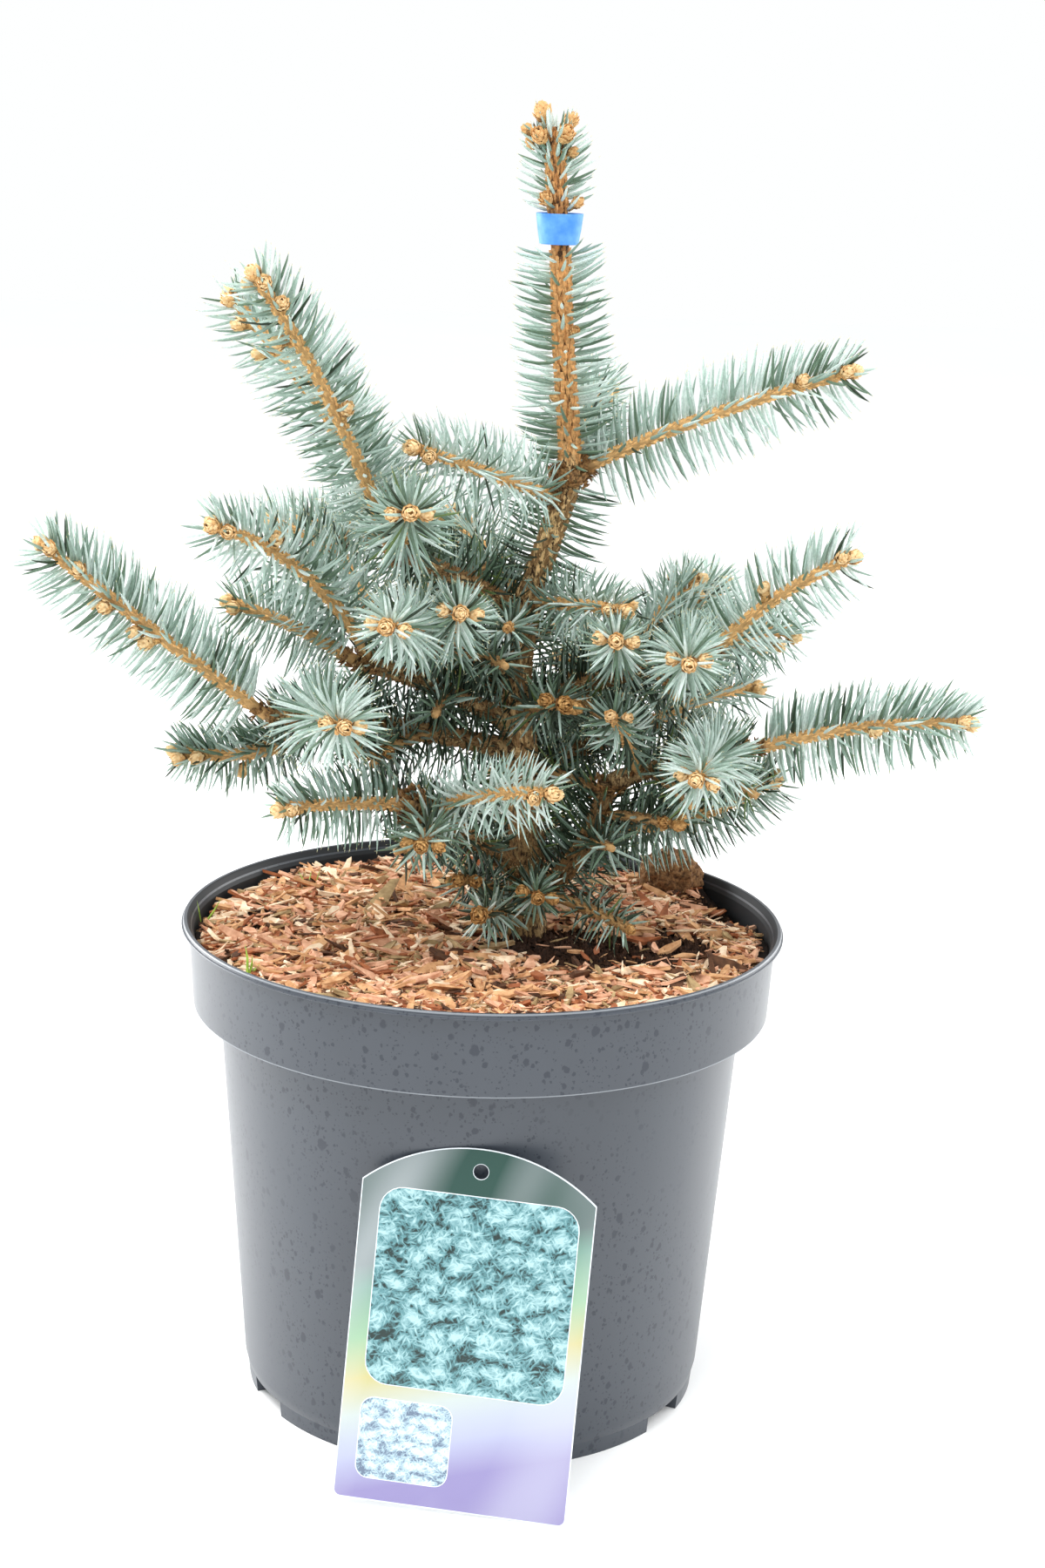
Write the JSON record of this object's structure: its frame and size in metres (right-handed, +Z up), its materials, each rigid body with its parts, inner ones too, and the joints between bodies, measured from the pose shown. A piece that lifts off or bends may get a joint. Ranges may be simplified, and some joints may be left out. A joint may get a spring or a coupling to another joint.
{
  "type": "potted colorado blue spruce",
  "caption": "Young blue spruce with a leaning trunk, tiered boughs and needled shoots, standing in a round nursery pot filled with bark mulch.",
  "frame": {"origin": "middle of the pot's flat underside, on the surface it stands on", "axes": "+Z up along the pot's axis, +Y away from the viewer, +X to the viewer's right"},
  "size_m": [0.3782, 0.2709, 0.5405],
  "materials": {
    "pot": "slate grey moulded plastic, satin",
    "mulch": "loose reddish bark chips over dark potting mix",
    "bark": "rough scaly bark, grey brown, tan on young wood",
    "needles": "waxy silvery blue-green needles on orange-tan twigs",
    "ring": "glossy blue",
    "card": "printed plastic card, satin"
  },
  "bodies": {
    "root": {"bough_back_left": "bark", "bough_back_low": "bark", "bough_back_right": "bark", "bough_far_left": "bark", "bough_front_left": "bark", "bough_low_left": "bark", "bough_low_right": "bark", "bough_mid_left": "bark", "bough_right": "bark", "bough_upper_left": "bark", "bough_upper_right": "bark", "care_card": "card", "leader_ring": "ring", "needles_leader": "needles", "needles_upper_trunk": "needles", "pot": "pot", "shoot_back_left_side": "needles", "shoot_back_left_tip": "needles", "shoot_back_low_side": "needles", "shoot_back_low_tip": "needles", "shoot_back_right_side": "needles", "shoot_back_right_tip": "needles", "shoot_crown_back": "needles", "shoot_crown_left": "needles", "shoot_crown_right": "needles", "shoot_far_left_back": "needles", "shoot_far_left_front": "needles", "shoot_far_left_inner": "needles", "shoot_far_left_tip": "needles", "shoot_foot_front": "needles", "shoot_foot_left": "needles", "shoot_foot_outer": "needles", "shoot_foot_right": "needles", "shoot_front_left_end": "needles", "shoot_front_left_inner": "needles", "shoot_low_left_front": "needles", "shoot_low_left_inner": "needles", "shoot_low_left_outer": "needles", "shoot_low_right_outer": "needles", "shoot_mid_left_end": "needles", "shoot_mid_left_outer": "needles", "shoot_rear_inner": "needles", "shoot_rear_outer": "needles", "shoot_right_front": "needles", "shoot_right_inner": "needles", "shoot_right_tip": "needles", "shoot_ring_back": "needles", "shoot_ring_front": "needles", "shoot_trunk_front": "needles", "shoot_trunk_right": "needles", "shoot_upper_left_back": "needles", "shoot_upper_left_front": "needles", "shoot_upper_left_tall": "needles", "shoot_upper_right_back": "needles", "shoot_upper_right_front": "needles", "shoot_upper_right_inner": "needles", "shoot_upper_right_tip": "needles", "soil": "mulch", "trunk": "bark"}
  },
  "joints": []
}
